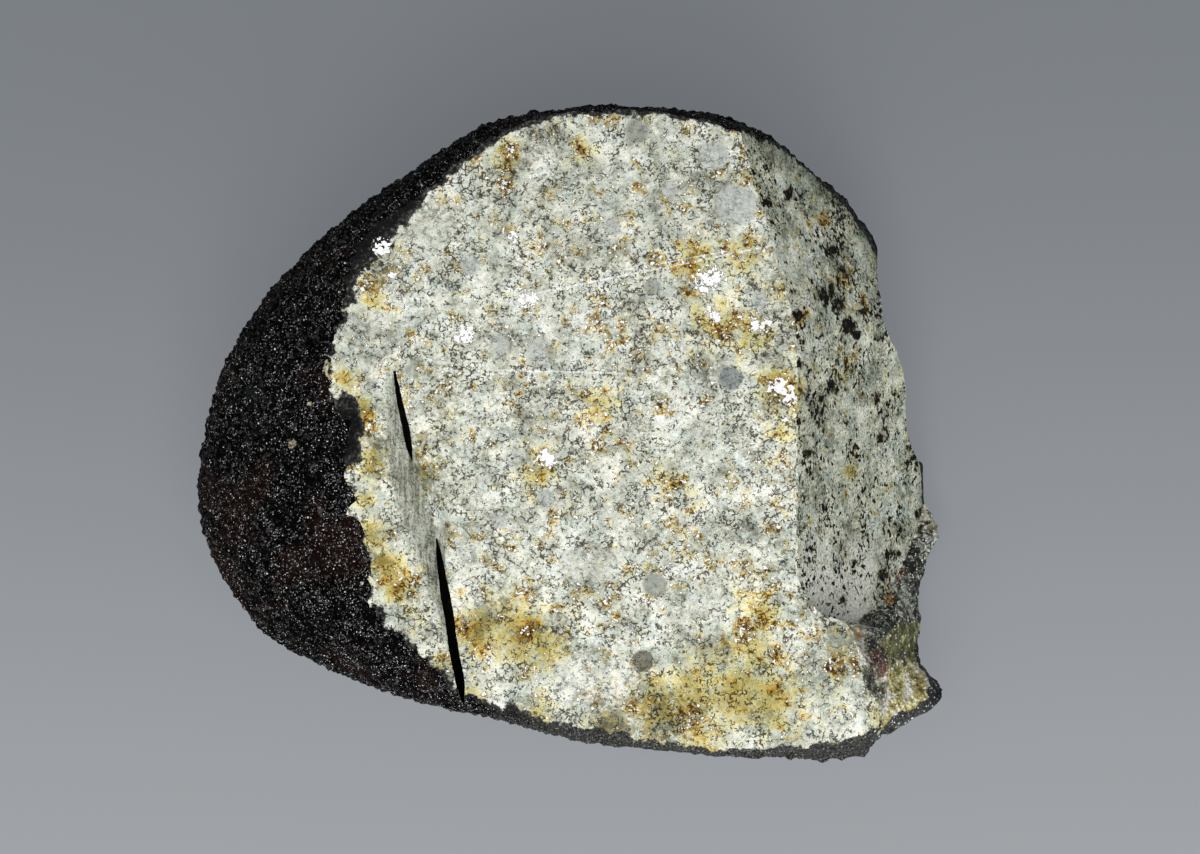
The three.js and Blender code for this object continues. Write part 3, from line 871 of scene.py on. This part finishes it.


# Painted light: along the stone's low side the crust is painted lighter grey with bright specks, as if lit
# from below.
def paintedLowSideLight(place, colour):
    grey = ramp(clouds(place, 5.5, 3, 0.7), lowSideLightSteps)
    low = calc("MULTIPLY", axisOf(place, "Y"), -1.0)
    low = weigh(low, [(clouds(place, 0.16, 4, 0.6), lowSideLight["unevenness"])])
    return mix(stepUp(low, lowSideLight["from"], lowSideLight["full"], lowSideLight["most"]), colour, grey)


# Beside the crust the stone is burnt.
def burntRim(place, colour, wider=0.0):
    uneven = calc("SUBTRACT", clouds(place, 1.1, 4, 0.65), 0.5)
    uneven = calc("ADD", attribute("rim"), calc("MULTIPLY", uneven, 1.3))
    depth = calc("SUBTRACT", uneven, wider)
    grain = clouds(place, 3.4, 4, 0.72)
    burnt = mix(stepDown(depth, -0.65, -0.2), ramp(grain, burntSteps), ramp(grain, sootySteps))
    # On the low side the burnt zone gets the same painted light.
    return mix(stepDown(depth, -0.06, 0.08), colour, paintedLowSideLight(place, burnt))


# A thin line drawn on the front from one place to another.
def thinLine(place, start, end, width, waver=0.0):
    turn = atan2(end[1] - start[1], end[0] - start[0])
    run = hypot(end[0] - start[0], end[1] - start[1])
    if waver:
        place = wobble(place, 0.8, waver)
    moved = move("SUBTRACT", place, ((start[0] + end[0]) / 2, (start[1] + end[1]) / 2, 0))
    turned = drawnOut(moved, -turn, (1, 1, 1))
    along = stepDown(calc("ABSOLUTE", axisOf(turned, "X")), run * 0.3, run * 0.5)
    across = stepDown(calc("ABSOLUTE", axisOf(turned, "Y")), width * 0.4, width)
    return times(along, across, stepUp(clouds(place, 1.9, 3, 0.7), 0.38, 0.56))


frontDetails = {
    "farShade": (240, 241, 240), "farFrom": 2.0, "farTo": 22.0,
    "chalk": (250, 250, 240), "shadows": ((196, 184, 146), (168, 170, 160)),
    "scratches": [((-5.6, 10.4), (18.2, 15.2), 0.11), ((-7.2, 4.9), (5.5, 4.6), 0.12),
                  ((2, 12.4), (14, 14.6), 0.07)],
    "scratchColour": (236, 238, 236), "scratchShare": 0.75,
    "crack": ((-9.8, -6.8), (-1.0, -12.9), 0.08, 0.9), "crackColour": (58, 52, 42),
    # The large chondrules' colours and how much they cover, by their tone
    "chondrules": [(0.0, (98, 95, 82)), (0.2, (146, 151, 143)), (0.35, (120, 128, 132)),
                   (0.5, (168, 175, 174)), (0.6, (184, 190, 186)), (0.8, (206, 210, 198))],
    "chondruleShares": [(0.0, (236,) * 3), (0.35, (230,) * 3), (0.5, (200,) * 3), (0.6, (230,) * 3),
                        (0.8, (190,) * 3)],
    "chondruleRim": (96, 92, 78),
    "ground": [(0.3, (46, 44, 32)), (0.4, (112, 114, 98)), (0.5, (160, 164, 150)), (0.7, (200, 203, 190))],
    "groundShare": 0.72,
}


def frontFinish():
    place = inMillimetres(startFinish("sawnFront"))
    colour, metal, relief, _ = stoneInside(place, frontLook, attribute("flakes"))
    # Painted shade: the front is painted a little darker towards its far end, where less light falls.
    far = stepUp(axisOf(place, "Y"), frontDetails["farFrom"], frontDetails["farTo"])
    colour = mix(far, colour, tinted(colour, frontDetails["farShade"]))
    uneven = clouds(place, 1.9, 4, 0.75)
    colour = mix(marked("white", uneven, 2.2, 0.2, 0.9, 0.6), colour, frontDetails["chalk"])
    # Painted shade: the listed places get a darker warm and grey tint, partly shade and partly duller stone.
    shadowed = mix(stepUp(clouds(place, 1.3, 3, 0.6), 0.42, 0.58), *frontDetails["shadows"])
    dullAndShade = marked("dullAndShade", uneven, 2.6, 0.2, 0.8)
    colour = mix(dullAndShade, colour, tinted(colour, shadowed))

    # Large chondrules
    inner = clouds(place, 2.2, 4, 0.65)
    disc = calc("MULTIPLY", calc("SUBTRACT", inner, 0.5), 0.35)
    disc = calc("ADD", attribute("chondrules"), disc)
    kind = attribute("chondrulesTone")
    shaded = mix(stepUp(inner, 0.3, 0.7), (214, 214, 210), (255, 255, 255))
    share = times(stepUp(disc, 0.0, 0.12), ramp(kind, frontDetails["chondruleShares"]))
    colour = mix(share, colour, tinted(ramp(kind, frontDetails["chondrules"]), shaded))
    rim = stepDown(calc("ABSOLUTE", disc), 0.0, 0.07)
    colour = mix(times(rim, 0.3), colour, frontDetails["chondruleRim"])

    # Scratches and a crack
    for scratch in frontDetails["scratches"]:
        share = times(thinLine(place, *scratch), frontDetails["scratchShare"])
        colour = mix(share, colour, frontDetails["scratchColour"])
    crack = thinLine(place, *frontDetails["crack"])
    colour = mix(times(crack, 0.85), colour, frontDetails["crackColour"])

    # The ground slope beside the slot
    ground = stepUp(attribute("ground"), 0.02, 0.3)
    streaks = clouds(drawnOut(place, -kerfTurn, (3.2, 0.4, 1)), 1.0, 4, 0.65)
    streaks = weigh(streaks, [(clouds(place, 5.0, 2, 0.7), 0.45)])
    share = times(ground, frontDetails["groundShare"])
    colour = mix(share, colour, ramp(streaks, frontDetails["ground"]))
    relief = calc("ADD", relief, times(streaks, ground, 1.5))
    colour = burntRim(place, colour)
    # The largest flake lies in the burnt rim.
    kept = times(stepUp(attribute("flakes"), 0.2, 0.3), metal)
    colour = mix(kept, colour, metalAndShine)
    endFinish(colour, calc("MULTIPLY_ADD", metal, -0.3, 0.7), relief, 0.1)


endLook = dict(frontLook, tones=[(104, 107, 90), (156, 160, 140), (190, 194, 173), (214, 217, 196),
                                 (233, 236, 216), (252, 254, 240)],
               contrast=0.95, grain=0.55, cool=(232, 240, 246), specks=0.3, speckColour=(46, 41, 28),
               veins=0.4, veinColour=(54, 48, 32), flakeFrom=0.8, goldFrom=0.56)
endDetails = {
    "byRim": (196, 200, 196),
    "dust": ((206, 208, 194), (254, 255, 246)),
    "holeFrom": 0.6, "holeFull": 0.615,
    "lip": (168, 146, 96),
    "hole": [(0.42, (3, 3, 2)), (0.56, (16, 14, 9)), (0.68, (78, 72, 46))],
}


def endFaceFinish():
    place = inMillimetres(startFinish("sawnEnd"))
    colour, _, relief, _ = stoneInside(drawnOut(place, 0, (1, 1, 0.65)), endLook)
    colour = mix(stepDown(attribute("rim"), 0.0, 1.8), colour, tinted(colour, endDetails["byRim"]))
    dust = marked("dust", clouds(place, 2.4, 4, 0.7), 1.2, 0.2, 0.8, 0.8)
    powder = mix(stepUp(clouds(place, 4.0, 2, 0.7), 0.36, 0.6), *endDetails["dust"])
    colour = mix(dust, colour, powder)

    # Small pits, painted dark inside as the shade in each hole, longer along the blade's strokes and fewer
    # under the dust
    where = clouds(place, 0.3, 3)
    pit = clouds(drawnOut(place, 0, (1, 0.95, 0.9)), 2.3, 2, 0.55)
    fine = clouds(drawnOut(place, 0, (1, 0.9, 0.9)), 6.0, 2, 0.5)
    fine = calc("SUBTRACT", weigh(fine, [(where, 0.3)]), 0.035)
    pit = calc("MAXIMUM", weigh(pit, [(where, 0.5)]), fine)
    pit = calc("MULTIPLY_ADD", dust, -0.035, pit)
    deep = weigh(attribute("pits"), [(clouds(place, 1.5, 4, 0.7), 2.4)])
    pit = calc("MAXIMUM", pit, calc("MULTIPLY_ADD", deep, 0.15, 0.54))
    hole = stepUp(pit, endDetails["holeFrom"], endDetails["holeFull"])
    lip = times(stepUp(pit, 0.56, 0.6), 0.6)
    colour = mix(lip, colour, tinted(colour, endDetails["lip"]))
    colour = mix(hole, colour, ramp(clouds(place, 2.6, 3, 0.6), endDetails["hole"]))
    relief = calc("MULTIPLY_ADD", hole, -2.5, relief)
    endFinish(burntRim(place, colour), 0.7, relief, 0.1)


brokenLook = dict(endLook, tones=[(10, 11, 8), (30, 32, 26), (58, 62, 54), (92, 96, 86), (134, 138, 126),
                                  (206, 208, 190)],
                  veins=0.9, veinColour=(16, 15, 10), specks=0.4, speckColour=(18, 17, 12), flakeFrom=0.76,
                  contrast=1.5, grain=0.8, crumb=0.34, goldFrom=0.62)
brokenDetails = {
    "chalky": [(0.3, (60, 58, 44)), (0.42, (126, 124, 102)), (0.52, (190, 188, 162)),
               (0.64, (250, 250, 238))],
    "olive": [(0.3, (40, 40, 18)), (0.44, (90, 92, 48)), (0.54, (122, 122, 72)), (0.6, (162, 162, 102)),
              (0.68, (250, 248, 204))],
    "spur": [(0.28, (78, 68, 32)), (0.38, (166, 152, 84)), (0.47, (212, 200, 130)), (0.54, (236, 230, 184)),
             (0.62, (253, 253, 246))],
    "red": [(0.36, (16, 9, 3)), (0.5, (72, 30, 4)), (0.6, (160, 66, 12)), (0.68, (246, 232, 206))],
    "gold": [(0.36, (84, 46, 14)), (0.5, (186, 122, 44)), (0.62, (250, 212, 124))],
    "knob": [(0.36, (120, 116, 92)), (0.48, (176, 172, 148)), (0.6, (216, 213, 192))],
    "cleft": ((27.8, -8.3), (29.8, -7.2), 0.2, 0.5), "cleftShade": (12, 11, 8),
    "sparkles": ((3.6, 0.14), (5.6, 0.24)),  # how many to a millimetre, and the share that shines
    "sparkle": (252, 253, 246),
}


def brokenFinish():
    place = inMillimetres(startFinish("brokenStone"))
    # The break is steep, so its grains are drawn out downwards.
    solid, place = place, drawnOut(place, 0, (1, 1, 0.45))
    colour, _, relief, tone = stoneInside(place, brokenLook)
    fine = clouds(place, 4.2, 3, 0.75)
    patchy = clouds(place, 1.6, 4, 0.65)

    # Paler towards the front, and at the listed chalk places: crushed stone, and painted light on the steep
    # wall that the lamps leave dark
    high = stepUp(weigh(axisOf(solid, "Z"), [(patchy, 9.0)]), 19.0, 24.0, 0.8)
    crushedAndLit = marked("chalk", patchy, 0.9, 0.35, 0.65, 0.9)
    colour = mix(calc("MAXIMUM", high, crushedAndLit), colour, ramp(tone, brokenDetails["chalky"]))

    # A glassy olive facet with fine splinters, their brightest lines painted as highlights
    splinter = clouds(drawnOut(place, 0.35, (2.6, 0.7, 0.5)), 1.2, 3, 0.65)
    facets = ramp(weigh(splinter, [(fine, 0.22)]), brokenDetails["olive"])
    colour = mix(marked("olive", patchy, 0.5, 0.46, 0.52, 0.95), colour, facets)

    # The spur is yellow, with pale grains
    grains = weigh(clouds(place, 1.0, 3, 0.6), [(fine, 0.5)])
    yellow = marked("pale", clouds(place, 1.2, 4, 0.6), 1.6, 0.35, 0.55)
    colour = mix(yellow, colour, ramp(grains, brokenDetails["spur"]))
    for name, weight, low, high, most in (("red", 3.0, 0.5, 0.62, 0.95), ("gold", 2.6, 0.45, 0.65, 0.85)):
        shown = marked(name, fine, weight, low, high, most)
        colour = mix(shown, colour, ramp(fine, brokenDetails[name]))

    # The knob below the sawn face is smoother, over a cleft painted dark as shade.
    knob = ramp(weigh(patchy, [(fine, 0.3)]), brokenDetails["knob"])
    colour = mix(marked("chip", patchy, 0.9, 0.75, 0.95, 0.9), colour, knob)
    colour = mix(thinLine(place, *brokenDetails["cleft"]), colour, brokenDetails["cleftShade"])
    wider = calc("MULTIPLY_ADD", attribute("spur"), 1.0, -0.5)
    colour = burntRim(place, colour, wider)
    # Painted sparkles: tiny bright specks in the colour that stand for glints of light
    for scale, share in brokenDetails["sparkles"]:
        random, other, near = cells(place, scale)
        chosen = calc("LESS_THAN", random, share)
        shown = times(chosen, stepDown(near, 0.25, 0.42), stepUp(other, 0.0, 0.5))
        colour = mix(shown, colour, brokenDetails["sparkle"])
    _, shine, away = cells(wobble(place, 2, 0.3), 3.0)
    relief = weigh(relief, [(away, -1.2)])
    endFinish(colour, calc("MULTIPLY_ADD", shine, 0.4, 0.3), relief, 0.25, 0.35)


# Painted shade: the walls of the deep slot are painted near-black.
def slotFinish():
    place = inMillimetres(startFinish("slotWall"))
    slotShade = clouds(place, 1.6, 4, 0.65)
    colour = ramp(slotShade, [(0.35, (3, 3, 2)), (0.55, (12, 10, 8)), (0.7, (40, 36, 26))])
    endFinish(colour, calc("MULTIPLY_ADD", slotShade, 0.2, 0.7), slotShade, 0.1)


crustLook = {
    "tones": [(0.0, (0, 0, 0)), (0.45, (2, 2, 2)), (0.76, (8, 7, 7)), (0.92, (28, 27, 25)),
              (1.0, (70, 68, 66))],
    "brown": (76, 42, 32), "brownShare": 0.2,
    "grey": (60, 64, 64),
    "glints": ((4.4, 0.35), (6.4, 0.9), (9.5, 1.0)), "glint": (232, 234, 234), "glintShare": 0.3,
    "chip": [(0.3, (108, 98, 72)), (0.5, (178, 170, 140)), (0.7, (232, 228, 206))],
    "gloss": 0.035,
}


def crustFinish():
    place = inMillimetres(startFinish("crust"))
    random, other, away = cells(wobble(place, 1.8, 0.3), 3.6)
    fine = clouds(place, 5.5, 3, 0.7)
    tone = calc("MULTIPLY_ADD", calc("SUBTRACT", fine, 0.5), 1.1, random, limit=True)
    colour = ramp(tone, crustLook["tones"])
    brown = mix(crustLook["brownShare"], colour, crustLook["brown"])
    colour = mix(stepUp(clouds(place, 0.16, 4, 0.6), 0.48, 0.62, 0.6), colour, brown)
    grey = clouds(drawnOut(place, 0, (1.5, 0.5, 0.5)), 0.5, 4, 0.7)
    colour = mix(stepUp(grey, 0.6, 0.74, 0.3), colour, crustLook["grey"])

    # Painted glints: bright specks in the colour on the glassy grains, in crowds
    crowd = stepUp(clouds(place, 0.9, 4, 0.65), 0.4, 0.62)
    crowd = calc("MULTIPLY_ADD", crowd, 1.1, 0.35)
    for scale, share in crustLook["glints"]:
        small, smallOther, near = cells(place, scale)
        chosen = calc("LESS_THAN", small, calc("MULTIPLY", crowd, share * crustLook["glintShare"]))
        shown = times(chosen, stepDown(near, 0.22, 0.42), calc("POWER", smallOther, 2.2))
        colour = mix(shown, colour, crustLook["glint"])
    # Painted light on the crust's low side
    colour = paintedLowSideLight(place, colour)
    uneven = calc("SUBTRACT", clouds(place, 1.5, 4, 0.7), 0.5)
    chip = calc("MULTIPLY_ADD", uneven, 1.8, attribute("chip"))
    colour = mix(stepUp(chip, 0.5, 0.58), colour, ramp(fine, crustLook["chip"]))
    relief = weigh(0.0, [(clouds(place, 2.4, 4, 0.65), 1.0), (away, -1.0), (fine, 0.4)])
    endFinish(colour, calc("MULTIPLY_ADD", other, 0.3, 0.36), relief, 0.3, crustLook["gloss"])


frontFinish()
endFaceFinish()
brokenFinish()
slotFinish()
crustFinish()
print("finishes", {name: len(bpy.data.materials[name].node_tree.nodes) for name in materialOrder})

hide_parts("stone")
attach(stone, "root")

# ---------- floor, light and camera ----------

studio = {
    # Painted light: the paper is a little lighter towards the viewer, and glows a little as if lit all over,
    # which pales the shadows on it.
    "floorFar": (0.0435, 0.0473, 0.0517, 1),
    "floorNear": (0.0816, 0.0859, 0.0904, 1),
    "floorFade": (-0.053, 0.038),
    "floorGlow": 3.0,
    "sky": (0.97, 0.98, 1.0, 1),
    "skyStrength": 0.22,
    # Place, size and power of each light, and where they point
    "lights": {"key": ((-0.04, -0.24, 0.78), 0.6, 7.3), "fill": ((0.5, -0.2, 0.4), 0.5, 0.5),
               "low": ((0.05, -0.6, 0.12), 0.3, 1.6)},
    "lightsAim": (0, 0, 0.01),
    "cameraDistance": 0.6,  # from the girth
    "lens": 221.8,
    "cameraX": 0.00235,
    "cameraY": 0.00036,
}

deselectAll()
bpy.ops.mesh.primitive_plane_add(size=3)
floor = bpy.context.object
floor.name = "floor"
bpy.data.materials.new("floorPaper")
across = axisOf(startFinish("floorPaper"), "Y")
shade = mix(stepUp(across, *studio["floorFade"]), studio["floorNear"], studio["floorFar"])
setShader({"Base Color": shade, "Roughness": 0.9, "Emission Color": shade,
           "Emission Strength": studio["floorGlow"]})
floor.data.materials.append(bpy.data.materials["floorPaper"])

world = bpy.data.worlds.new("studio")
world.use_nodes = True
sky = world.node_tree.nodes["Background"]
sky.inputs["Color"].default_value = studio["sky"]
sky.inputs["Strength"].default_value = studio["skyStrength"]
bpy.context.scene.world = world

for name, (place, size, power) in studio["lights"].items():
    data = bpy.data.lights.new(name, "AREA")
    data.size = size
    data.energy = power
    light = bpy.data.objects.new(name, data)
    light.location = place
    light.rotation_euler = (Vector(studio["lightsAim"]) - Vector(place)).to_track_quat("-Z", "Y").to_euler()
    bpy.context.collection.objects.link(light)

camera = bpy.data.objects.new("camera", bpy.data.cameras.new("camera"))
camera.data.lens = studio["lens"]
camera.location = (studio["cameraX"], studio["cameraY"], studio["cameraDistance"] + girthHeight / 1000)
bpy.context.collection.objects.link(camera)
bpy.context.scene.camera = camera
bpy.context.scene.view_settings.view_transform = "Standard"

print("done")
